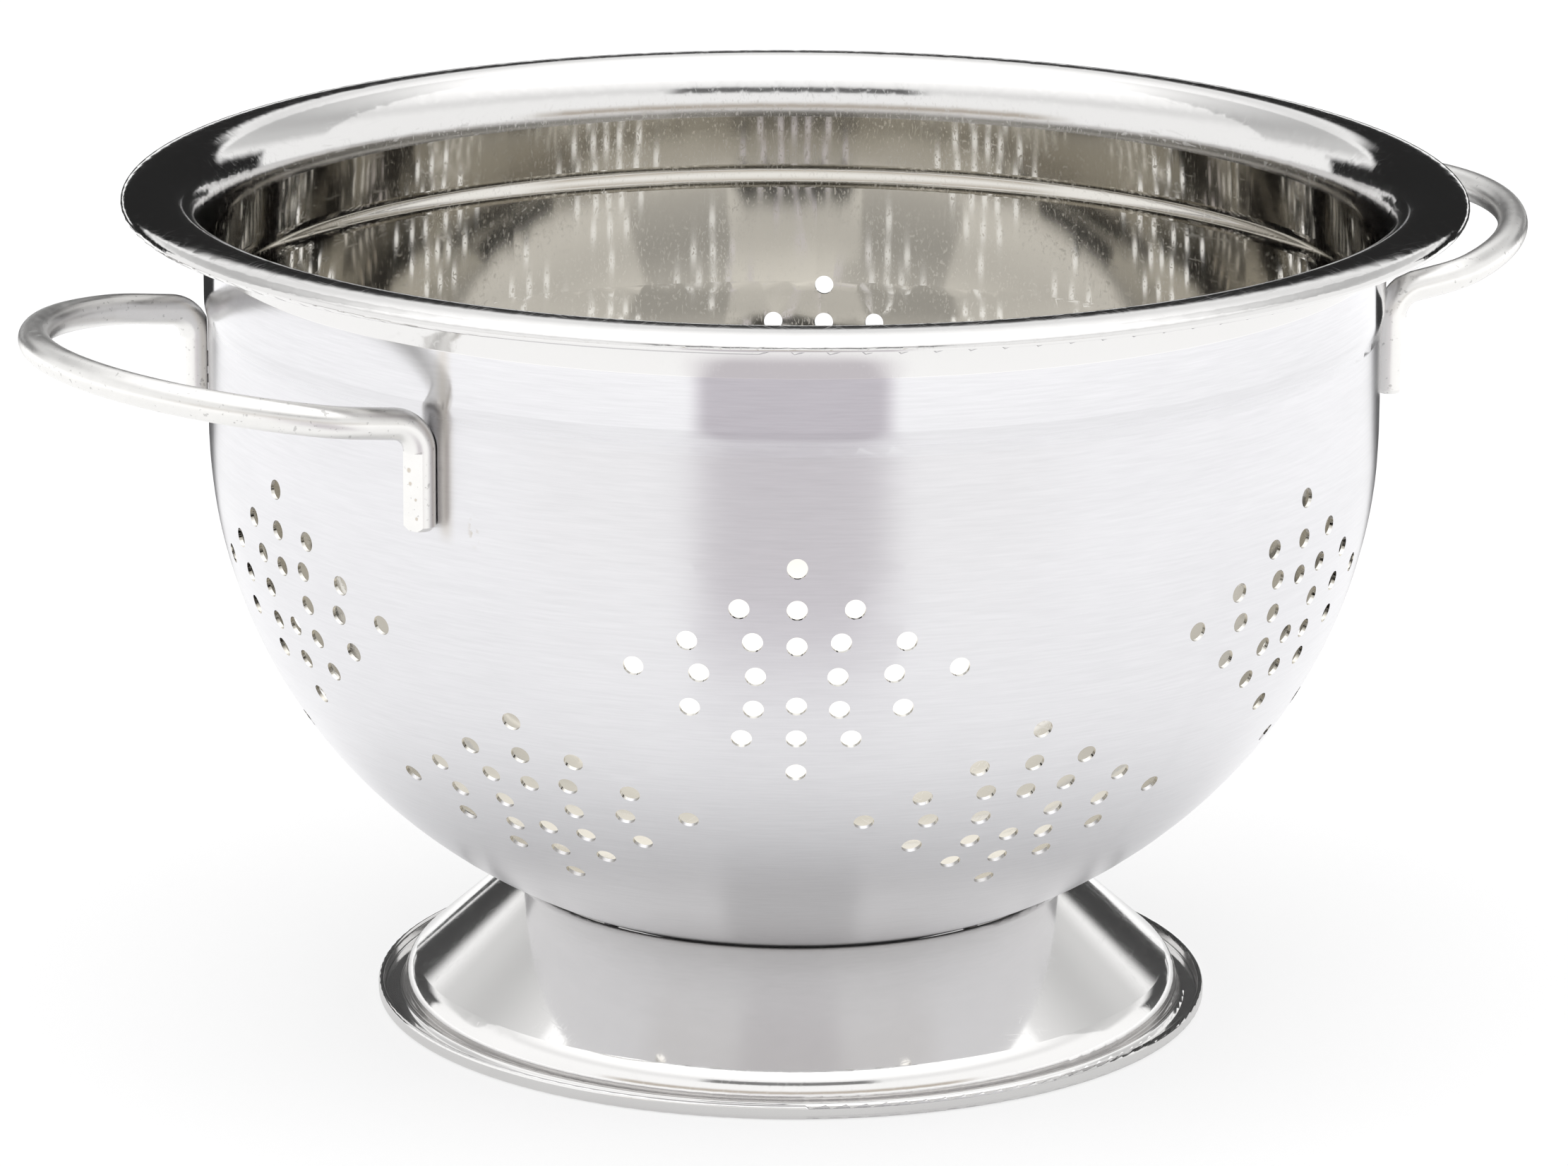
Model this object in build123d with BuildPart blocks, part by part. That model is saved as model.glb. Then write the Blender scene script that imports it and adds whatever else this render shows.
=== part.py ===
from build123d import *
from math import acos, asin, atan2, cos, degrees, hypot, pi, radians, sin, sqrt, tan
import os

# A footed colander: a pressed steel bowl with punched holes and a rolled rim, a foot ring
# and two bent wire handles, all joined by spot welds. Millimetres, Z up, the ground is
# z = 0 and the bowl's axis is x = y = 0. Azimuths are degrees from -Y towards +X.

# Bowl sheet, from the middle of the floor outwards and up
sheet = 0.7
floor_height = 16.3
floor_radius = 8.7
wall_radius = 118.0
shoulder_radius = 102.3
shoulder_turn = 41.6
wall_height = 20.8
step_rise = 5.0
step_out = 0.7
collar_height = 10.5

# Rim, two quarter ellipses that meet at the crown, and its rolled edge
rim_flare = 9.5
rim_rise = 12.2
rim_reach = 7.5
rim_drop = 2.9
hem_radius = 1.0

# Punched holes, in clusters of one pattern. A share pair is a place across and up from the
# cluster's middle, as shares of its reach; each stands for its mirror images too.
hole_radius = 2.0
cluster_reach = 22.1
upper_cluster_drop = 22.8
lower_cluster_drop = 59.9
middle_row_shares = [(0.353, 0), (0.842, 0.02), (1.416, 0.05)]
outer_row_shares = [
    (0, 0.29), (0.376, 0.326), (0.937, 0.324),
    (0, 0.627), (0.489, 0.633),
    (0, 1),
]
upper_azimuths = [0.4, 57.9, 117.4, 176.9, -121, -58.8]
lower_azimuths = [-29, 25.6, 86, 147, -151, -90]

# Foot ring, from the weld land down the skirt to the turned-up edge
foot_sheet = 0.8
land_radius = 46.0
land_bend = 1.2
skirt_slope = 41.5
skirt_curve = 7.4
skirt_radius = 79.5
flange_fillet = 1.5
foot_radius = 84.8
bead_width = 1.2
bead_height = 3.0
bead_corner = 1.0
groove_corner = 0.4

# Handles, bent from round wire and pressed flat at the legs
wire_radius = 3.1
leg_spread = 105.0
leg_length = 20.7
leg_back_press = 0.85
leg_front_press = 1.1
pressed_length = 15.5
leg_chamfer = 0.9
arm_rise = 21.8
arm_tilt = 7.0
arm_run = 12.0
bend_radius = 6.0
corner_radius = 20.0
handle_reach = 52.5
left_azimuth = -62.0
right_lift = 3.0

# Spot welds: the handle nuggets' heights are taken from the end of the leg
weld_gap = 0.25
dot_radius = 0.9
dot_heights = [2.7, 6.6]
slot_height = 10.7
slot_length = 3.2
foot_weld_radius = 1.5
foot_weld_count = 8

# How far a cut runs past what it cuts
overrun = 2.0

# Places that follow from the sizes
turn = radians(shoulder_turn)
belly_radius = (wall_radius - floor_radius - shoulder_radius * (1 - cos(turn))) / cos(turn)
wall_base = floor_height + belly_radius * (1 - sin(turn)) + shoulder_radius * sin(turn)
belly_centre = (floor_radius, floor_height + belly_radius)
shoulder_centre = (wall_radius - shoulder_radius, wall_base)
shoulder_run = shoulder_radius * turn
belly_run = belly_radius * (pi / 2 - turn)
step_base = wall_base + wall_height
step_top = step_base + step_rise
step_arc = (step_out**2 + step_rise**2) / (4 * step_out)
step_turn = degrees(asin(step_rise / 2 / step_arc))
collar_radius = wall_radius + step_out
rim_base = step_top + collar_height
crown_radius = collar_radius - sheet + rim_flare
edge_height = rim_base + rim_rise - rim_drop
rim_radius = crown_radius + rim_reach


def below_rim(inset):
    """Draw a face of the sheet from the axis to the top of the collar, inset from the outside."""
    Line((0, floor_height + inset), (floor_radius, floor_height + inset))
    CenterArc(belly_centre, belly_radius - inset, -90, 90 - shoulder_turn)
    CenterArc(shoulder_centre, shoulder_radius - inset, -shoulder_turn, shoulder_turn)
    Line((wall_radius - inset, wall_base), (wall_radius - inset, step_base))
    CenterArc((wall_radius + step_arc, step_base), step_arc + inset, 180, -step_turn)
    CenterArc((collar_radius - step_arc, step_top), step_arc - inset, -step_turn, step_turn)
    Line((collar_radius - inset, step_top), (collar_radius - inset, rim_base))


def rim(inset, last_angle):
    """Draw a face of the rim from the collar over the crown, down to an angle of its edge."""
    gap = sheet - inset
    EllipticalCenterArc((crown_radius, rim_base), rim_flare - gap, rim_rise - gap, 180, arc_size=-90)
    return EllipticalCenterArc(
        (crown_radius, edge_height), rim_reach - gap, rim_drop - gap, 90, arc_size=last_angle - 90
    )


def bowl_plug(inset):
    """Fill the bowl up to the top of the collar, with its side inset from the outside."""
    with BuildPart() as plug:
        with BuildSketch(Plane.XZ):
            with BuildLine():
                below_rim(inset)
                Line((collar_radius - inset, rim_base), (0, rim_base))
                Line((0, rim_base), (0, floor_height + inset))
            make_face()
        revolve(axis=Axis.Z)
    return plug.part


def outward_plane(azimuth, radius, height, lean=0):
    """A plane beside the axis that faces away from it, and down by the lean in degrees."""
    way = radians(azimuth)
    down = radians(lean)
    return Plane(
        origin=(radius * sin(way), -radius * cos(way), height),
        x_dir=(cos(way), sin(way), 0),
        z_dir=(cos(down) * sin(way), -cos(down) * cos(way), -sin(down)),
    )


def sheet_plane(azimuth, drop):
    """The plane on the outside of the sheet, a distance down along it from the wall's base."""
    if drop <= shoulder_run:
        lean = max(drop, 0) / shoulder_radius
        radius = shoulder_centre[0] + shoulder_radius * cos(lean)
        height = wall_base - shoulder_radius * sin(lean) - min(drop, 0)
    elif drop <= shoulder_run + belly_run:
        lean = turn + (drop - shoulder_run) / belly_radius
        radius = floor_radius + belly_radius * cos(lean)
        height = floor_height + belly_radius * (1 - sin(lean))
    else:
        lean = pi / 2
        radius = floor_radius - (drop - shoulder_run - belly_run)
        height = floor_height
    return outward_plane(azimuth, radius, height, degrees(lean))


# Every hole of the pattern, across and up from the middle of its cluster
pattern = []
for across, up in middle_row_shares:
    pattern += [(across, up), (-across, up)]
for across, up in outer_row_shares:
    for side in [1, -1] if across else [1]:
        pattern += [(side * across, up), (side * across, -up)]

hole_planes = []
for drop, azimuths in [(upper_cluster_drop, upper_azimuths), (lower_cluster_drop, lower_azimuths)]:
    ring = -sheet_plane(0, drop).origin.Y
    for azimuth in azimuths:
        for across, up in pattern:
            turned = degrees(across * cluster_reach / ring)
            hole_planes.append(sheet_plane(azimuth + turned, drop - up * cluster_reach))
for across, up in pattern:
    drop = shoulder_run + belly_run + floor_radius - hypot(across, up) * cluster_reach
    hole_planes.append(sheet_plane(degrees(atan2(across, up)), drop))

# Bowl: one pressed sheet, turned from its profile and punched
with BuildPart() as bowl:
    with BuildSketch(Plane.XZ):
        with BuildLine():
            below_rim(0)
            hem_angle = degrees(acos((rim_reach - 2 * hem_radius) / (rim_reach - sheet)))
            underside = rim(0, hem_angle)
            hem = CenterArc((rim_radius - hem_radius, edge_height), hem_radius, 0, -180)
            Line(underside @ 1, hem @ 1)
            below_rim(sheet)
            rim(sheet, 0)
            Line((0, floor_height), (0, floor_height + sheet))
        make_face()
    revolve(axis=Axis.Z)
    with BuildSketch(*hole_planes):
        Circle(hole_radius)
    extrude(amount=sheet + overrun, both=True, mode=Mode.SUBTRACT)

# Foot: the skirt leans out from a land that follows the bowl's belly
skirt_centre = (skirt_radius - skirt_curve, foot_sheet + flange_fillet)
slope = radians(skirt_slope)


def skirt_start(inset):
    """The top of the skirt's curve, on a face that is inset from the outside."""
    radius = skirt_curve - inset
    return Vector(skirt_centre[0] + radius * sin(slope), skirt_centre[1] + radius * cos(slope))


def crease(inset):
    """Where a face of the straight skirt, inset from the outside, meets that of the land."""
    away = skirt_start(inset) - Vector(*belly_centre)
    climb = Vector(-cos(slope), sin(slope))
    along = away.dot(climb)
    land = belly_radius + weld_gap + inset
    run = -along - sqrt(along**2 - away.length**2 + land**2)
    return skirt_start(inset) + climb * run


def foot_side(inset):
    """Draw a face of the foot from the end of the land down to the top of the flange."""
    land = belly_radius + weld_gap + inset
    first = -degrees(acos((land_radius - floor_radius) / land))
    last = -degrees(acos((crease(inset).X - floor_radius) / land))
    strip = CenterArc(belly_centre, land, first, last - first)
    Line(crease(inset), skirt_start(inset))
    CenterArc(skirt_centre, skirt_curve - inset, 0, 90 - skirt_slope)
    fillet_centre = (skirt_radius + flange_fillet, foot_sheet + flange_fillet)
    CenterArc(fillet_centre, flange_fillet + inset, 180, 90)
    return strip


with BuildPart() as foot:
    with BuildSketch(Plane.XZ) as profile:
        with BuildLine():
            outer_strip = foot_side(0)
            inner_strip = foot_side(foot_sheet)
            Line(outer_strip @ 0, inner_strip @ 0)
            flange_start = skirt_radius + flange_fillet
            bead_inside = foot_radius - bead_width
            bead_centre = (foot_radius - bead_width / 2, bead_height - bead_width / 2)
            Line((flange_start, foot_sheet), (bead_inside - groove_corner, foot_sheet))
            groove_centre = (bead_inside - groove_corner, foot_sheet + groove_corner)
            CenterArc(groove_centre, groove_corner, -90, 90)
            Line((bead_inside, foot_sheet + groove_corner), (bead_inside, bead_centre[1]))
            CenterArc(bead_centre, bead_width / 2, 0, 180)
            Line((foot_radius, bead_centre[1]), (foot_radius, bead_corner))
            CenterArc((foot_radius - bead_corner, bead_corner), bead_corner, -90, 90)
            Line((foot_radius - bead_corner, 0), (flange_start, 0))
        make_face()
        fillet(profile.vertices().sort_by(Axis.Y)[-2], land_bend)
        fillet(profile.vertices().sort_by(Axis.Y)[-1], land_bend + foot_sheet)
    revolve(axis=Axis.Z)

bowl_body = bowl_plug(0)
bowl_clearance = bowl_plug(-weld_gap)

# Handles: legs against the wall, bent out into arms that a bow joins
leg_centre = wall_radius + weld_gap + wire_radius - leg_back_press
half_spread = leg_spread / 2
leg_line = sqrt(leg_centre**2 - half_spread**2)
leg_offset = degrees(asin(half_spread / leg_centre))
bend_run = bend_radius * tan(radians(90 - arm_tilt) / 2)

# The bow's radius puts its top at the reach and makes it meet the corners smoothly
corner_across = half_spread - corner_radius
bow_rise = handle_reach - arm_run - corner_radius
bow_to_corner = (corner_across**2 + bow_rise**2) / (2 * bow_rise)
corner_angle = atan2(bow_to_corner - bow_rise, corner_across)
corner_end = (
    corner_across + corner_radius * cos(corner_angle),
    arm_run + corner_radius * sin(corner_angle),
)


def make_handle(azimuth, arm_height):
    """Bend one handle from wire, press its legs flat and trim them to the wall."""
    loop = outward_plane(azimuth, leg_line, arm_height, 90 - arm_tilt)
    leg_end = arm_height - leg_length
    drop = Vector(0, 0, -bend_run)

    def spot(across, out):
        return loop.from_local_coords(Vector(across, out))

    with BuildPart() as handle:
        with BuildLine() as path:
            first_knee = spot(-half_spread, 0)
            first_leg = Line(first_knee - Vector(0, 0, leg_length), first_knee + drop)
            first_bend = TangentArc(
                first_leg @ 1, spot(-half_spread, bend_run), tangent=first_leg % 1
            )
            first_arm = Line(first_bend @ 1, spot(-half_spread, arm_run))
            first_corner = TangentArc(
                first_arm @ 1, spot(-corner_end[0], corner_end[1]), tangent=first_arm % 1
            )
            bow = TangentArc(first_corner @ 1, spot(*corner_end), tangent=first_corner % 1)
            second_corner = TangentArc(bow @ 1, spot(half_spread, arm_run), tangent=bow % 1)
            second_arm = Line(second_corner @ 1, spot(half_spread, bend_run))
            second_knee = spot(half_spread, 0)
            second_bend = TangentArc(second_arm @ 1, second_knee + drop, tangent=second_arm % 1)
            Line(second_bend @ 1, second_knee - Vector(0, 0, leg_length))
        with BuildSketch(Plane(origin=first_leg @ 0, z_dir=first_leg % 0)):
            Circle(wire_radius)
        sweep()
        chamfer(handle.faces().sort_by(Axis.Z)[:2].edges(), leg_chamfer)
        front = leg_centre + wire_radius - leg_front_press
        pressed_top = leg_end + pressed_length
        with BuildSketch(
            outward_plane(azimuth - leg_offset, front, pressed_top),
            outward_plane(azimuth + leg_offset, front, pressed_top),
        ):
            Rectangle(
                2 * wire_radius + overrun,
                pressed_length + overrun,
                align=(Align.CENTER, Align.MAX),
            )
        extrude(amount=wire_radius, mode=Mode.SUBTRACT)
        add(bowl_clearance, mode=Mode.SUBTRACT)
    return handle.part


def make_handle_welds(azimuth, arm_height):
    """Fill the gap behind each leg at its spot welds: two dots and a short slot."""
    leg_end = arm_height - leg_length
    with BuildPart() as welds:
        for leg_azimuth in [azimuth - leg_offset, azimuth + leg_offset]:
            for height in dot_heights:
                with BuildSketch(outward_plane(leg_azimuth, wall_radius, leg_end + height)):
                    Circle(dot_radius)
                extrude(amount=overrun, both=True)
            with BuildSketch(outward_plane(leg_azimuth, wall_radius, leg_end + slot_height)):
                SlotOverall(slot_length, 2 * dot_radius, rotation=90)
            extrude(amount=overrun, both=True)
        add(bowl_body, mode=Mode.SUBTRACT)
        add(bowl_clearance, mode=Mode.INTERSECT)
    return welds.part


# Foot welds: nuggets between the land and the belly, spaced round the middle of the land
weld_ring = (land_radius + crease(0).X) / 2
weld_lean = acos((weld_ring - floor_radius) / belly_radius)
weld_drop = shoulder_run + belly_radius * (weld_lean - turn)
with BuildPart() as foot_welds:
    with BuildSketch(*[sheet_plane(n * 360 / foot_weld_count, weld_drop) for n in range(foot_weld_count)]):
        Circle(foot_weld_radius)
    extrude(amount=overrun, both=True)
    add(bowl_body, mode=Mode.SUBTRACT)
    add(bowl_clearance, mode=Mode.INTERSECT)

pieces = {
    "bowl": bowl.part,
    "foot": foot.part,
    "foot_spot_welds": foot_welds.part,
}
left_arm = wall_base + arm_rise
for name, azimuth, arm_height in [
    ("handle_left", left_azimuth, left_arm),
    ("handle_right", left_azimuth + 180, left_arm + right_lift),
]:
    pieces[name] = make_handle(azimuth, arm_height)
    pieces[name + "_spot_welds"] = make_handle_welds(azimuth, arm_height)

os.makedirs("parts", exist_ok=True)
for name, piece in pieces.items():
    piece.label = name
    export_step(piece, f"parts/{name}.step")
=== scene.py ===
# %% [markdown]
# A footed steel colander on a white table. The imported CAD model gives the shapes, in
# metres, and this lesson gives them their steel: a satin outside, a polished inside, rim and
# foot, and tumbled wire.

# %% Load the model
from math import cos, pi, radians, sin

import bpy
from mathutils import Matrix, Vector


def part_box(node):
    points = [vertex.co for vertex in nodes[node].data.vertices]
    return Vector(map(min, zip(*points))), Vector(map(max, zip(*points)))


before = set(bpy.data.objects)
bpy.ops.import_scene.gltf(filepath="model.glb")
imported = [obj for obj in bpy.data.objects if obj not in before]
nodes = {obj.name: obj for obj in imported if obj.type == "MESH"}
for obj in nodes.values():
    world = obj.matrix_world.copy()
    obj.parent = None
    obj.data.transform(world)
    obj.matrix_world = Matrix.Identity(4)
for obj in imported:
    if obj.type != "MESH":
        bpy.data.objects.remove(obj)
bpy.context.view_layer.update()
scene = bpy.context.scene
mm = 0.001
print("pieces:", sorted(nodes))

# %% [markdown]
# The camera stands where the photographer's did: a little over a metre and a half in front
# of the bowl, looking down on it by fifteen degrees through a long lens. It could be placed
# by eye, but a long lens makes small errors large, so its place, turn and focal length were
# worked out from the circles of the rim, the wall and the foot. A roll of a third of a
# degree is the camera's own.

# %% Camera
camera_distance = 1571.6 * mm
camera_height = 515.5 * mm
camera_pitch = radians(15.281)
camera_yaw = radians(-0.067)
camera_roll = radians(0.32)
photo_width = 2221
focal_pixels = 11350
sensor_width_mm = 36

forward = Vector((
    sin(camera_yaw) * cos(camera_pitch),
    cos(camera_yaw) * cos(camera_pitch),
    -sin(camera_pitch),
))
level_right = Vector((cos(camera_yaw), -sin(camera_yaw), 0))
level_up = level_right.cross(forward)
camera_right = level_right * cos(camera_roll) + level_up * sin(camera_roll)
camera_up = level_up * cos(camera_roll) - level_right * sin(camera_roll)

camera = bpy.data.objects.new("camera", bpy.data.cameras.new("camera"))
scene.collection.objects.link(camera)
camera.matrix_world = Matrix((
    (camera_right.x, camera_up.x, -forward.x, 0),
    (camera_right.y, camera_up.y, -forward.y, -camera_distance),
    (camera_right.z, camera_up.z, -forward.z, camera_height),
    (0, 0, 0, 1),
))
camera.data.sensor_width = sensor_width_mm
camera.data.lens = focal_pixels / photo_width * sensor_width_mm
scene.camera = camera
scene.view_settings.view_transform = "Standard"
print("lens:", round(camera.data.lens, 1), "mm")

# %% [markdown]
# Steel has hardly a colour of its own. What we see is its grain and what stands around it,
# so most of this lesson is arithmetic on where a point is. Math nodes could be placed and
# linked one by one, but a sum of ten terms would fill a page. The class below lets a shader
# socket be written as a number in a sum instead: each operator adds one Math node.

# %% Shader arithmetic
class Arithmetic:
    """A shader socket that adds a Math node for each operator it is used with."""

    def __init__(self, tree, socket):
        self.tree = tree
        self.socket = socket

    def with_node(self, operation, first, second=None):
        math = self.tree.nodes.new("ShaderNodeMath")
        math.operation = operation
        for slot, value in zip(math.inputs, (first, second)):
            if isinstance(value, Arithmetic):
                self.tree.links.new(value.socket, slot)
            elif value is not None:
                slot.default_value = value
        return type(self)(self.tree, math.outputs[0])

    def __add__(self, other):
        return self.with_node("ADD", self, other)

    def __sub__(self, other):
        return self.with_node("SUBTRACT", self, other)

    def __rsub__(self, other):
        return self.with_node("SUBTRACT", other, self)

    def __mul__(self, other):
        return self.with_node("MULTIPLY", self, other)

    def __truediv__(self, other):
        return self.with_node("DIVIDE", self, other)

    def __pow__(self, other):
        return self.with_node("POWER", self, other)

    def __neg__(self):
        return self.with_node("MULTIPLY", self, -1)

    def __gt__(self, other):
        return self.with_node("GREATER_THAN", self, other)

    def __lt__(self, other):
        return self.with_node("LESS_THAN", self, other)

    def most(self, other):
        return self.with_node("MAXIMUM", self, other)

    def size(self):
        return self.with_node("ABSOLUTE", self)

    __radd__ = __add__
    __rmul__ = __mul__


print("operators: + - * / ** < >")

# %% [markdown]
# Every finish here is made of soft masks: values that go from 0 to 1 over a stretch of
# height, angle or distance. A Color Ramp node could draw each one, but its stops would have
# to be set by hand and couldn't follow another socket. So the masks are sums too.

# %% Soft masks
class Value(Arithmetic):
    """A socket that also knows the soft masks."""

    def held(self):
        """The value kept between 0 and 1."""
        kept = self * 1
        kept.socket.node.use_clamp = True
        return kept

    def step(self, start, end):
        """A soft step: 0 at the start, 1 at the end, smooth between them."""
        ramp = ((self - start) / (end - start)).held()
        return ramp * ramp * (3 - ramp * 2)

    def between(self, rise, fall):
        """A plateau: a soft step up over one stretch and down again over another."""
        return self.step(*rise) * (1 - self.step(*fall))

    def below(self, edge, softness):
        """1 below an edge and 0 above it. The edge may be a socket too."""
        return 1 - ((self - edge) / softness).step(-1, 1)

    def bump_at(self, middle, width):
        """A soft hump: 1 at the middle, gone at a width to either side."""
        return 1 - (self - middle).size().step(0, width)


print("masks: step, between, below, bump_at")

# %% [markdown]
# All other nodes come from one method, which takes a node's type, its settings and its
# sockets. Without it each node would need a line for every value and link. The nodes used
# most have short names of their own. Colours and vectors go through Mix and Combine nodes,
# because a Math node turns a colour grey.

# %% Shader nodes
class Shader:
    """A node tree with one method that adds any node, and a few that name common ones."""

    def __init__(self, tree):
        self.tree = tree
        tree.nodes.clear()

    def node(self, kind, settings=None, inputs=None):
        made = self.tree.nodes.new("ShaderNode" + kind)
        for name, value in (settings or {}).items():
            setattr(made, name, value)
        for name, value in (inputs or {}).items():
            socket = made.inputs[name]
            if isinstance(value, Value):
                value = value.socket
            if isinstance(value, bpy.types.NodeSocket):
                self.tree.links.new(value, socket)
            else:
                socket.default_value = value
        return made

    def value(self, node, output=0):
        return Value(self.tree, node.outputs[output])

    def parts(self, vector):
        split = self.node("SeparateXYZ", inputs={"Vector": vector})
        return [self.value(split, axis) for axis in "XYZ"]

    def vector(self, x, y, z):
        return self.node("CombineXYZ", inputs={"X": x, "Y": y, "Z": z}).outputs[0]

    def place(self):
        """Where the shaded point is, in metres from the middle of the foot's circle."""
        return self.node("NewGeometry").outputs["Position"]

    def noise(self, vector, scale, detail=2, roughness=0.5):
        made = self.node("TexNoise", inputs={
            "Vector": vector, "Scale": scale, "Detail": detail, "Roughness": roughness,
        })
        return self.value(made, "Fac")

    def mix(self, share, first, second):
        made = self.node("Mix", {"data_type": "RGBA"}, {"Factor": share})
        for name, colour in (("A", first), ("B", second)):
            socket = [slot for slot in made.inputs if slot.name == name and slot.type == "RGBA"][0]
            if isinstance(colour, bpy.types.NodeSocket):
                self.tree.links.new(colour, socket)
            else:
                socket.default_value = (*colour, 1)
        return [slot for slot in made.outputs if slot.type == "RGBA"][0]

    def finish_with(self, kind, surface):
        self.tree.links.new(surface, self.node(kind).inputs["Surface"])


def new_material(name):
    material = bpy.data.materials.new(name)
    material.use_nodes = True
    return material, Shader(material.node_tree)


print("named nodes: parts, vector, place, noise, mix")

# %% [markdown]
# Polished steel shows its surroundings, so the studio is drawn with care. Lamps and cards
# could be meshes, but they would stand in the way when the camera goes round. A world
# shader that works out its brightness from the direction of a ray can't. It needs two
# angles in degrees: how far a ray rises above the table, and how far it is turned from the
# front, which is 0 towards the camera and 180 behind the bowl, on either side.

# %% Directions in the studio
world = bpy.data.worlds.new("studio")
scene.world = world
world.use_nodes = True
studio = Shader(world.node_tree)
degrees_in_radian = 180 / pi
ray_x, ray_y, ray_z = studio.parts(studio.node("TexCoord").outputs["Generated"])
rising = studio.node("Math", {"operation": "ARCSINE"}, {0: ray_z})
rising = studio.value(rising) * degrees_in_radian
turned = studio.node("Math", {"operation": "ARCTAN2"}, {0: ray_x.size(), 1: -ray_y})
turned = studio.value(turned) * degrees_in_radian
print("two angles from", len(world.node_tree.nodes), "nodes")

# %% [markdown]
# Overhead hangs a wide soft box, which fades into white walls. A slightly darker seam runs
# round where they meet. A picture of a room could light the steel too, but its edges
# couldn't be moved one by one until the reflections lie where the photo has them.

# %% Soft box and walls
overhead_glow = 1.9
wall_glow = 1.2
overhead_edge = (36, 72)
seam_height = 34
seam_width = 10
seam_darkness = 0.15

glow = wall_glow + (overhead_glow - wall_glow) * rising.step(*overhead_edge)
glow = glow * (1 - seam_darkness * rising.bump_at(seam_height, seam_width))
print("glow from", wall_glow, "at the walls to", overhead_glow, "overhead")

# %% [markdown]
# White all round would make the steel look like paper. Real walls aren't even, so those to
# the sides at the back are greyer, and in front, above the camera, there is a dim gap.
# Each is a plateau in both angles. The edges were read from where the rim and the foot
# change from light to dark.

# %% Grey walls and a gap
side_wall_stretch = ((109, 111), (151, 153))
side_wall_foot = (16, 24)
side_wall_top = (40, 70)
side_wall_darkness = 0.35
gap_side = (23, 30)
gap_heights = ((26, 29), (35, 39))
gap_darkness = 0.85

side_wall = turned.between(*side_wall_stretch) * rising.between(side_wall_foot, side_wall_top)
glow = glow * (1 - side_wall_darkness * side_wall)
camera_gap = (1 - turned.step(*gap_side)) * rising.between(*gap_heights)
glow = glow * (1 - gap_darkness * camera_gap)
print("gap to", gap_side[1], "degrees on each side of the front")

# %% [markdown]
# Behind the bowl hangs black cloth. It gives the rim and the foot their dark ends, which is
# what makes polished steel look like steel. Darker steel would have dark ends too, but its
# bright parts would be lost. The cloth's top rises towards the back, and in the middle it
# stops a little above the table.

# %% Black cloth
cloth_start = (129, 132)
cloth_top_low = 15
cloth_top_rise = 11
cloth_rise_stretch = (150, 160)
cloth_top_softness = 3
cloth_lift_stretch = (148, 151)
cloth_lift = (0, 2)
cloth_darkness = 0.98

cloth_top = cloth_top_low + cloth_top_rise * turned.step(*cloth_rise_stretch)
under_cloth = turned.step(*cloth_lift_stretch) * (1 - rising.step(*cloth_lift))
black_cloth = turned.step(*cloth_start) * rising.below(cloth_top, cloth_top_softness)
black_cloth = black_cloth * (1 - under_cloth)
glow = glow * (1 - cloth_darkness * black_cloth)
print("cloth from", cloth_start[0], "degrees round to the back")

# %% [markdown]
# Low in front the light turns brown. Some of the warm tints in the steel come from it. The
# steel itself could be made warmer instead, but then all its reflections would be.

# %% Brown horizon
plain_white = (1, 1, 1)
horizon_brown = (0.40, 0.34, 0.27)
horizon_height = 5
horizon_width = 8
horizon_side = (45, 60)
horizon_share = 0.9

horizon = rising.bump_at(horizon_height, horizon_width) * (1 - turned.step(*horizon_side))
lamp_colour = studio.mix(horizon * horizon_share, plain_white, horizon_brown)
print("brown up to", horizon_height + horizon_width, "degrees above the table")

# %% [markdown]
# The camera itself should see plain white paper behind the colander, not these walls. The
# film could be made transparent and filled with white later, but the picture should be
# done here. The Light Path node tells the camera's rays from the others, so they get a
# white of their own.

# %% White background
white = (*plain_white, 1)
paper_glow = 1.0

path = studio.node("LightPath")
lamps = studio.node("Background", inputs={"Color": lamp_colour, "Strength": glow})
paper = studio.node("Background", inputs={"Color": white, "Strength": paper_glow})
seen = studio.node("MixShader", inputs={
    0: path.outputs["Is Camera Ray"], 1: lamps.outputs[0], 2: paper.outputs[0],
})
studio.finish_with("OutputWorld", seen.outputs[0])
print("studio nodes:", len(world.node_tree.nodes))

# %% [markdown]
# The table is one large sheet of white paper.

# %% Table
table_size = 6.0
half_table = table_size / 2
corners = [(-half_table, -half_table, 0), (half_table, -half_table, 0),
           (half_table, half_table, 0), (-half_table, half_table, 0)]
table_mesh = bpy.data.meshes.new("table")
table_mesh.from_pydata(corners, [], [(0, 1, 2, 3)])
table = bpy.data.objects.new("table", table_mesh)
scene.collection.objects.link(table)
print("table:", table_size, "m square")

# %% [markdown]
# Steel sees more of the table than the camera does. In front lies a dim strip, which widens
# towards the camera and shows as the darker band down the middle of the bowl. Behind, the
# paper ends at black cloth, which draws a thin dark line down each side of the wall. Dark
# meshes could lie there, but the camera would see the cloth. So both are masks by place on
# the table, in metres.

# %% Dim strip and cloth on the table
strip_half_width = 20 * mm
strip_widens_from = 118 * mm
strip_widening = 0.33
strip_softness = 30 * mm
strip_start = (180 * mm, 350 * mm)
near_strip_stretch = ((0, 50 * mm), (60 * mm, 90 * mm))
near_strip_strength = 1.8
cloth_front = (270 * mm, 300 * mm)
cloth_corner_along = 280 * mm
cloth_corner_beside = 160 * mm
cloth_widening = 0.85
cloth_softness = 8 * mm

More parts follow.
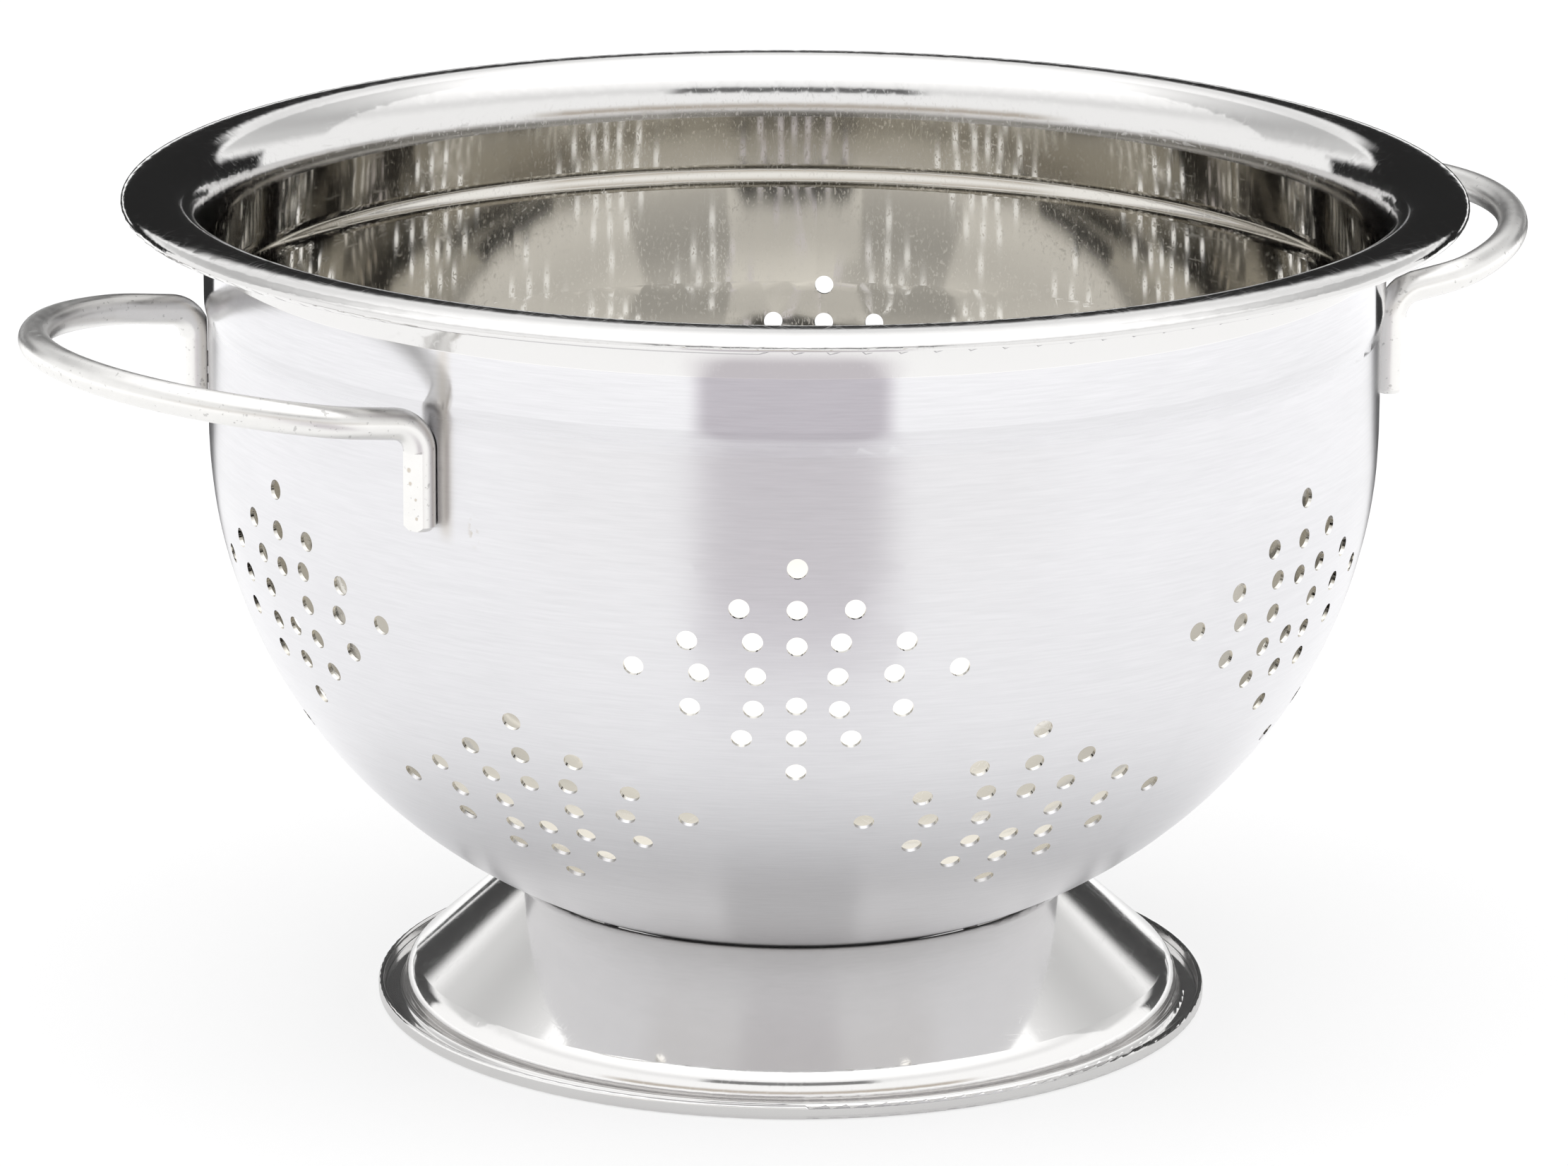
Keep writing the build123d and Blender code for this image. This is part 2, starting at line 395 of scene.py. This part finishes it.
table_paper, shader = new_material("table_paper")
across, along, _ = shader.parts(shader.place())
beside = across.size()
ahead = -along
strip_edge = strip_half_width + (ahead - strip_widens_from).most(0) * strip_widening
near_strip = ahead.between(*near_strip_stretch)
strip_reach = ahead.step(*strip_start).most(near_strip_strength * near_strip)
strip = beside.below(strip_edge, strip_softness) * strip_reach
cloth_edge = cloth_corner_beside + (along - cloth_corner_along) * cloth_widening
cloth = beside.below(cloth_edge, cloth_softness) * along.step(*cloth_front)
print("nodes for the strip and the cloth:", len(table_paper.node_tree.nodes))

# %% [markdown]
# Close to the foot the paper lies in the bowl's shade, and far away it is a little
# brighter. The shade could be left to the light alone, but most of the paper that the
# steel mirrors glows by itself, as the next step says, and needs its shade drawn. With the
# two masks that makes the grey that the steel sees. The strip is faintly mauve, because it
# loses a little green.

# %% Grey of the paper
paper_grey = 0.9
shaded_level = 0.6
out_of_shade_rise = 0.4
shade_edge = (70 * mm, 170 * mm)
far_rise = 0.25
far_edge = (500 * mm, 1000 * mm)
strip_darkness = 0.41
table_cloth_darkness = 0.97
strip_green_loss = 0.05

far = (across * across + along * along) ** 0.5
level = shaded_level + out_of_shade_rise * far.step(*shade_edge) + far_rise * far.step(*far_edge)
grey = paper_grey * level * (1 - strip_darkness * strip) * (1 - table_cloth_darkness * cloth)
seen_grey = shader.vector(grey, grey * (1 - strip_green_loss * strip), grey)
print("with its greys:", len(table_paper.node_tree.nodes))

# %% [markdown]
# Paper that is only lit would show the camera a strong shadow, and the photo's paper is
# plain white. Paper that only glows would have no shadow at all, and the colander would
# seem to float. So each kind of ray gets a mix. For the camera more than half glows plain
# white, and the lit rest keeps a faint shadow round the foot. For mirror rays three
# quarters glows in the grey drawn above. Other rays see that grey lit.

# %% Paper for each kind of ray
mirror_share = 0.75
mirror_glow = 1.5
shadow_share = 0.4
white_glow = 1.04

lit = shader.node("BsdfDiffuse", inputs={"Color": seen_grey})
backlit = shader.node("Emission", inputs={"Color": seen_grey, "Strength": mirror_glow})
lit_white = shader.node("BsdfDiffuse", inputs={"Color": (paper_grey, paper_grey, paper_grey, 1)})
glowing = shader.node("Emission", inputs={"Color": white, "Strength": white_glow})
shown = shader.node("MixShader", inputs={
    0: 1 - shadow_share, 1: lit_white.outputs[0], 2: glowing.outputs[0],
})
path = shader.node("LightPath")
mirrored = shader.node("MixShader", inputs={
    0: shader.value(path, "Is Glossy Ray") * mirror_share, 1: lit.outputs[0], 2: backlit.outputs[0],
})
surface = shader.node("MixShader", inputs={
    0: path.outputs["Is Camera Ray"], 1: mirrored.outputs[0], 2: shown.outputs[0],
})
shader.finish_with("OutputMaterial", surface.outputs[0])
table_mesh.materials.append(table_paper)
print("paper nodes:", len(table_paper.node_tree.nodes))

# %% [markdown]
# Every piece here is steel, so one helper makes the metal shader and another its relief.
# The grain of brushed steel could be drawn line by line, but most of its lines are finer
# than a pixel. An anisotropic shader does the same for all of them at once: it smears a
# reflection across the grain. Its own tangent runs round the upright axis, and a quarter
# turn of the rotation makes the smear go up and down.

# %% Steel and relief
quarter_turn = 0.25


def steel_shader(shader, colour, roughness, anisotropy=0.0, normal=None):
    inputs = {"Base Color": colour, "Metallic": 1.0, "Roughness": roughness,
              "Anisotropic": anisotropy}
    if anisotropy:
        inputs["Anisotropic Rotation"] = quarter_turn
    if normal is not None:
        inputs["Normal"] = normal
    return shader.node("BsdfPrincipled", inputs=inputs)


def bump(shader, height, distance, strength=1.0, normal=None):
    inputs = {"Height": height, "Distance": distance, "Strength": strength}
    if normal is not None:
        inputs["Normal"] = normal
    return shader.node("Bump", inputs=inputs).outputs[0]


def dress(name, material):
    mesh = nodes[name].data
    mesh.materials.clear()
    mesh.materials.append(material)
    print(name, "is dressed in", material.name)


print("grain turned by", quarter_turn * 360, "degrees")

# %% [markdown]
# Things that stand in sinks and drawers get fine scratches that cross every way. They could
# be cut as grooves or drawn one by one, but hundreds are needed. Noise that is stretched
# along one direction gives a whole set at once, when only its highest crests are kept.

# %% Scratches
scratch_scale_along = 90
scratch_scale_across = 2600
scratch_scale_up = 900
scratch_density = 0.62
crest_width = 0.05


def scratches(shader, place, angle, density=scratch_density):
    """Fine scratches along one direction in plan, as a value from 0 to 1."""
    x, y, z = shader.parts(place)
    along = x * cos(angle) + y * sin(angle)
    across = y * cos(angle) - x * sin(angle)
    stretched = shader.vector(
        along * scratch_scale_along, across * scratch_scale_across, z * scratch_scale_up,
    )
    crests = shader.noise(stretched, 1.0, detail=2)
    return crests.step(density, density + crest_width)


print("noise is stretched", round(scratch_scale_across / scratch_scale_along), "times")

# %% [markdown]
# Turning and polishing leave lines that run round a piece. An image of rings would need
# the wall unwrapped, but noise can draw them straight on the shape if the place that it is
# given changes slowly round the axis and quickly up the wall. The distance from the axis is
# added to the height, so that flat parts get rings too.

# %% Lines that run round
def wound_place(shader, place, round_scale, up_scale):
    """A place for noise that changes slowly round the axis and quickly up the wall."""
    x, y, z = shader.parts(place)
    ring = (x * x + y * y) ** 0.5
    return shader.vector(x / ring * round_scale, y / ring * round_scale, (z + ring) * up_scale)


print("lines follow the height plus the distance from the axis")

# %% [markdown]
# Beside each leg the wall has a narrow tan stripe, which is a painted reflection. Something
# splashed and dried to the right of the near one. An image could be painted for them, but
# four stripes and a splash are too few to be worth one. They are masks by place: the
# distance from an upright plane through the bowl's axis, and the height.

# %% Marks on the wall
leg_azimuths = (-88, -36, 92, 144)
stripe_turn = 1.9
stripe_half_width = 2.6 * mm
stripe_start = (119 * mm, 124 * mm)
stripe_strength = 0.35
splash_azimuth = -31
splash_half_width = 1.6 * mm
splash_height = 123.5 * mm
splash_half_height = 4 * mm
splash_strength = 0.6
speckle_scale = 700
speckle_crest = (0.52, 0.6)
wall_reach = 100 * mm


def beside_plane(x, y, azimuth):
    """The distance beside an upright plane, and whether the point is out on its side."""
    middle = radians(azimuth)
    beside = x * cos(middle) + y * sin(middle)
    on_side = (x * sin(middle) - y * cos(middle)) > wall_reach
    return beside, on_side


def leg_reflections_and_splash(shader, place):
    x, y, z = shader.parts(place)
    painted_reflections = 0
    for leg_azimuth in leg_azimuths:
        beside, on_side = beside_plane(x, y, leg_azimuth + stripe_turn)
        # painted reflection: a tan stripe on the wall beside each leg
        leg_reflection = beside.bump_at(0, stripe_half_width) * z.step(*stripe_start)
        painted_reflections = painted_reflections + stripe_strength * leg_reflection * on_side
    beside, on_side = beside_plane(x, y, splash_azimuth)
    splash = beside.bump_at(0, splash_half_width) * z.bump_at(splash_height, splash_half_height)
    speckle = shader.noise(place, speckle_scale, detail=3).step(*speckle_crest)
    return (painted_reflections + splash_strength * splash * on_side * speckle).held()


print("stripes beside", len(leg_azimuths), "legs")

# %% [markdown]
# The bowl is one sheet with three finishes. Outside it is satin: a belt was held against
# the turning bowl, so its fine lines run round it. Inside and on the rim it is polished,
# and the collar under the rim is nearly so. The sheet is thin, so where a point lies can't
# tell inside from outside. Its normal can: on the outside it points away from the middle
# of the bowl.

# %% Where each finish lies
rim_base = 157.95 * mm
step_base = 142.5 * mm
collar_edge = (step_base + 1 * mm, step_base + 6 * mm)
bowl_middle = 128.0 * mm


def finish_masks(shader, place):
    """Where the steel is polished, where the rim is and where the collar is."""
    x, y, z = shader.parts(place)
    normal = shader.node("NewGeometry").outputs["Normal"]
    normal_x, normal_y, normal_z = shader.parts(normal)
    facing = normal_x * x + normal_y * y + normal_z * (z - bowl_middle)
    on_rim = z > rim_base
    polished = (facing < 0).most(on_rim)
    return polished, on_rim, z.step(*collar_edge)


print("collar from", round(step_base / mm, 1), "to", round(rim_base / mm, 1), "mm")

# %% [markdown]
# The satin has lines of two sizes. One noise could give both, but they do different
# things. Fine ones change the colour and give a slight relief. Broad ones only change the
# roughness, as a worn belt does. The collar was brushed more lightly, so it is smoother and
# shows a sharper reflection.

# %% Satin outside
satin_grey = 0.67
satin_grey_spread = 0.12
satin_green = 0.995
satin_blue = 1.02
satin_roughness = 0.30
satin_roughness_spread = 0.06
satin_anisotropy = 0.85
collar_smoothing = 0.66
collar_darkening = 0.08
fine_round_scale = 7
fine_up_scale = 1100
fine_line_depth = 0.01 * mm
# the tan of the painted reflections beside the legs, and of the splash
tan_reflection_and_splash = (0.42, 0.36, 0.27)


def satin_steel(shader, place, collar, broad_lines):
    wound = wound_place(shader, place, fine_round_scale, fine_up_scale)
    lines = shader.noise(wound, 1.6, detail=4, roughness=0.6)
    roughness = satin_roughness + satin_roughness_spread * (broad_lines - 0.5)
    roughness = roughness * (1 - collar_smoothing * collar)
    grey = (satin_grey + satin_grey_spread * (lines - 0.5)) * (1 - collar_darkening * collar)
    clean = shader.vector(grey, grey * satin_green, grey * satin_blue)
    # the painted reflections beside the legs and the splash are mixed into the colour
    colour = shader.mix(leg_reflections_and_splash(shader, place), clean, tan_reflection_and_splash)
    relief = bump(shader, lines, fine_line_depth, 0.5)
    return steel_shader(shader, colour, roughness, satin_anisotropy, relief)


print("satin: roughness", satin_roughness, "and", satin_roughness * (1 - collar_smoothing))

# %% [markdown]
# The inside is a mirror of a mirror. A khaki steel would show its colour at once, but light
# bounces in the bowl three or four times, and each time the steel takes a little more of
# the blue. So a barely warm grey turns largely khaki by itself, and the rim, which is seen
# after one bounce, stays nearly neutral. The basin's grey is also painted a little darker
# and warmer than the rim's, as painted shade.

# %% Polish inside
polish_grey = 0.70
polish_grey_spread = 0.03
polish_green = 0.99
polish_blue = 0.98
# painted shade: the basin darker and warmer than the rim
basin_painted_shade = 0.05
basin_green_loss = 0.018
basin_blue_loss = 0.07
polish_roughness = 0.05
polish_roughness_spread = 0.02
rim_roughness_rise = 0.03
scratch_roughness_rise = 0.08
polish_anisotropy = 0.9
scratch_angles = (0.9, 2.3)
scratch_depth = 0.002 * mm


def polished_steel(shader, place, on_rim, broad_lines):
    basin = 1 - on_rim
    # painted shade: the basin's grey made darker and warmer than the rim's
    grey = (polish_grey + polish_grey_spread * (broad_lines - 0.5)) * (1 - basin_painted_shade * basin)
    green = grey * (polish_green - basin_green_loss * basin)
    blue = grey * (polish_blue - basin_blue_loss * basin)
    first, second = [scratches(shader, place, angle) for angle in scratch_angles]
    worn = first.most(second)
    roughness = polish_roughness + polish_roughness_spread * (broad_lines - 0.5)
    roughness = roughness + rim_roughness_rise * on_rim + scratch_roughness_rise * worn
    relief = bump(shader, worn, scratch_depth, 0.4)
    colour = shader.vector(grey, green, blue)
    return steel_shader(shader, colour, roughness, polish_anisotropy, relief)


print("polish: roughness", polish_roughness, "and", len(scratch_angles), "sets of scratches")

# %% [markdown]
# Both finishes lie on one sheet. The mesh could be split in two, but then the edge between
# them would have to follow its triangles. A Mix Shader picks a finish at each point
# instead. The broad lines run through both.

# %% Bowl steel
broad_round_scale = 0.7
broad_up_scale = 110


def bowl_steel():
    material, shader = new_material("bowl_steel")
    place = shader.place()
    polished, on_rim, collar = finish_masks(shader, place)
    wound = wound_place(shader, place, broad_round_scale, broad_up_scale)
    broad_lines = shader.noise(wound, 1.3, detail=3)
    satin = satin_steel(shader, place, collar, broad_lines)
    polish = polished_steel(shader, place, on_rim, broad_lines)
    both = shader.node("MixShader", inputs={
        0: polished, 1: satin.outputs[0], 2: polish.outputs[0],
    })
    shader.finish_with("OutputMaterial", both.outputs[0])
    return material


dress("bowl", bowl_steel())

# %% [markdown]
# The foot is polished too. It is the piece that slides on tables, so it has three sets of
# scratches and faint lines from its own polishing. Near the bowl it is painted darker and a
# little warm, as painted shade. More roughness would blur every reflection in it, and the
# photo's are sharp under a faint haze. So a small share of a rougher steel is mixed into the
# mirror.

# %% Foot steel
foot_grey = 0.80
foot_grey_spread = 0.04
near_bowl_edge = (20 * mm, 50 * mm)
# painted shade: how much darker the foot is near the bowl
painted_shade_near_bowl = 0.28
near_bowl_green_loss = 0.01
near_bowl_blue_loss = 0.08
foot_roughness = 0.05
cloud_roughness_rise = 0.03
foot_scratch_rise = 0.06
foot_scratches = ((0.5, 0.62), (2.2, 0.64), (1.4, 0.66))
foot_line_share = 0.1
foot_round_scale = 1
foot_up_scale = 700
haze_roughness = 0.36
haze_scratch_rise = 0.1
haze_share = 0.14
cloud_scale = 45


def foot_steel():
    material, shader = new_material("foot_steel")
    place = shader.place()
    wound = wound_place(shader, place, foot_round_scale, foot_up_scale)
    lines = shader.noise(wound, 1.5, detail=3)
    cloudy = shader.noise(place, cloud_scale, detail=3)
    sets = [scratches(shader, place, angle, density) for angle, density in foot_scratches]
    crossed = sets[0].most(sets[1]).most(sets[2])
    _, _, z = shader.parts(place)
    # painted shade: the foot darker and a little warm near the bowl
    shade_near_bowl = z.step(*near_bowl_edge)
    grey = (foot_grey + foot_grey_spread * (cloudy - 0.5)) * (1 - painted_shade_near_bowl * shade_near_bowl)
    green = grey * (polish_green - near_bowl_green_loss * shade_near_bowl)
    blue = grey * (polish_blue - near_bowl_blue_loss * shade_near_bowl)
    colour = shader.vector(grey, green, blue)
    relief = bump(shader, foot_line_share * lines + crossed, scratch_depth, 0.5)
    sharp_roughness = foot_roughness + cloud_roughness_rise * cloudy + foot_scratch_rise * crossed
    sharp = steel_shader(shader, colour, sharp_roughness, normal=relief)
    hazy_roughness = haze_roughness + haze_scratch_rise * crossed
    hazy = steel_shader(shader, colour, hazy_roughness, normal=relief)
    steel = shader.node("MixShader", inputs={
        0: haze_share, 1: sharp.outputs[0], 2: hazy.outputs[0],
    })
    shader.finish_with("OutputMaterial", steel.outputs[0])
    return material


dress("foot", foot_steel())

# %% [markdown]
# The legs of the handles were pressed flat between electrodes, and each keeps a few small
# round pits where the welds are. They could be cut into the mesh, but they are only about
# a tenth of a millimetre deep. So they are drawn, each by its place on the flat: how far
# sideways, how far up from the leg's end, and its radius.

# %% Weld pits
leg_reach = 122.5 * mm
flat_edge = (leg_reach - 0.4 * mm, leg_reach - 0.2 * mm)
leg_spread_angle = 25.9
pit_edge = (0.5, 1.1)
pits_on_leg = [
    (-1.1 * mm, 11.9 * mm, 0.55 * mm),
    (-0.8 * mm, 9.3 * mm, 0.45 * mm),
    (0.5 * mm, 6.3 * mm, 0.35 * mm),
    (0.7 * mm, 2.6 * mm, 0.4 * mm),
]


def weld_pits(shader, place, handle_azimuth, leg_end):
    """The pits on both legs of one handle, as a value from 0 to 1."""
    x, y, z = shader.parts(place)
    pits = 0
    for side in (-1, 1):
        turn = radians(handle_azimuth + side * leg_spread_angle)
        out = x * sin(turn) - y * cos(turn)
        sideways = x * cos(turn) + y * sin(turn)
        on_flat = out.step(*flat_edge)
        for shift, height, radius in pits_on_leg:
            up = z - (leg_end + height)
            across = sideways - shift
            reach = (across * across + up * up) ** 0.5 / radius
            pits = pits + (1 - reach.step(*pit_edge)) * on_flat
    return pits


print("pits on each leg:", len(pits_on_leg))

# %% [markdown]
# The handle wire was tumbled after it was bent, which leaves it bright but scuffed and
# finely pitted all over. It could share the foot's steel, but tumbling leaves no direction
# and no scratches.

# %% Wire steel
wire_grey = 0.76
wire_grey_spread = 0.12
wire_green = 0.99
wire_blue = 0.97
wire_roughness = 0.30
wire_roughness_spread = 0.16
scuff_scale = 260
scuff_depth = 0.02 * mm
fleck_scale = 900
fleck_crest = (0.64, 0.72)
fleck_darkening = 0.2
fleck_roughness_rise = 0.1
grain_scale = 2400
pit_depth = 0.1 * mm
pit_brown_share = 0.5
weld_brown = (0.36, 0.27, 0.16)
handle_azimuths = {"handle_left": -62.0, "handle_right": 118.0}


def wire_steel(name, handle_azimuth, leg_end):
    material, shader = new_material(name)
    place = shader.place()
    scuffed = shader.noise(place, scuff_scale, detail=4, roughness=0.7)
    grain = shader.noise(place, grain_scale, detail=2)
    flecks = shader.noise(place, fleck_scale, detail=2).step(*fleck_crest)
    pits = weld_pits(shader, place, handle_azimuth, leg_end)
    grey = wire_grey + wire_grey_spread * (scuffed - 0.5) - fleck_darkening * flecks
    bright = shader.vector(grey, grey * wire_green, grey * wire_blue)
    colour = shader.mix((pit_brown_share * pits).held(), bright, weld_brown)
    roughness = wire_roughness + wire_roughness_spread * (scuffed - 0.4)
    roughness = roughness + fleck_roughness_rise * flecks
    relief = bump(shader, scuffed * 0.5 + grain * 0.5, scuff_depth, 0.3)
    relief = bump(shader, 0 - pits, pit_depth, 0.6, relief)
    steel = steel_shader(shader, colour, roughness, normal=relief)
    shader.finish_with("OutputMaterial", steel.outputs[0])
    return material


for name, handle_azimuth in handle_azimuths.items():
    leg_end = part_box(name)[0].z
    dress(name, wire_steel(name + "_steel", handle_azimuth, leg_end))

# %% [markdown]
# The weld metal in the gaps is dull and a little blued by heat. Its beads could be modelled
# with ripples, but little of it is ever seen, so one noise is enough: it mixes a brown and
# a blue grey and roughens them unevenly.

# %% Weld metal
heat_scale = 900
heat_brown = (0.42, 0.36, 0.30)
heat_blue = (0.36, 0.38, 0.45)
weld_roughness = 0.4
heat_roughness_rise = 0.2
bead_depth = 0.03 * mm


def weld_steel():
    material, shader = new_material("weld_steel")
    heat = shader.noise(shader.place(), heat_scale, detail=2)
    colour = shader.mix(heat, heat_brown, heat_blue)
    relief = bump(shader, heat, bead_depth, 0.5)
    roughness = weld_roughness + heat_roughness_rise * heat
    steel = steel_shader(shader, colour, roughness, normal=relief)
    shader.finish_with("OutputMaterial", steel.outputs[0])
    return material


weld_metal = weld_steel()
for name in sorted(nodes):
    if name.endswith("_spot_welds"):
        dress(name, weld_metal)
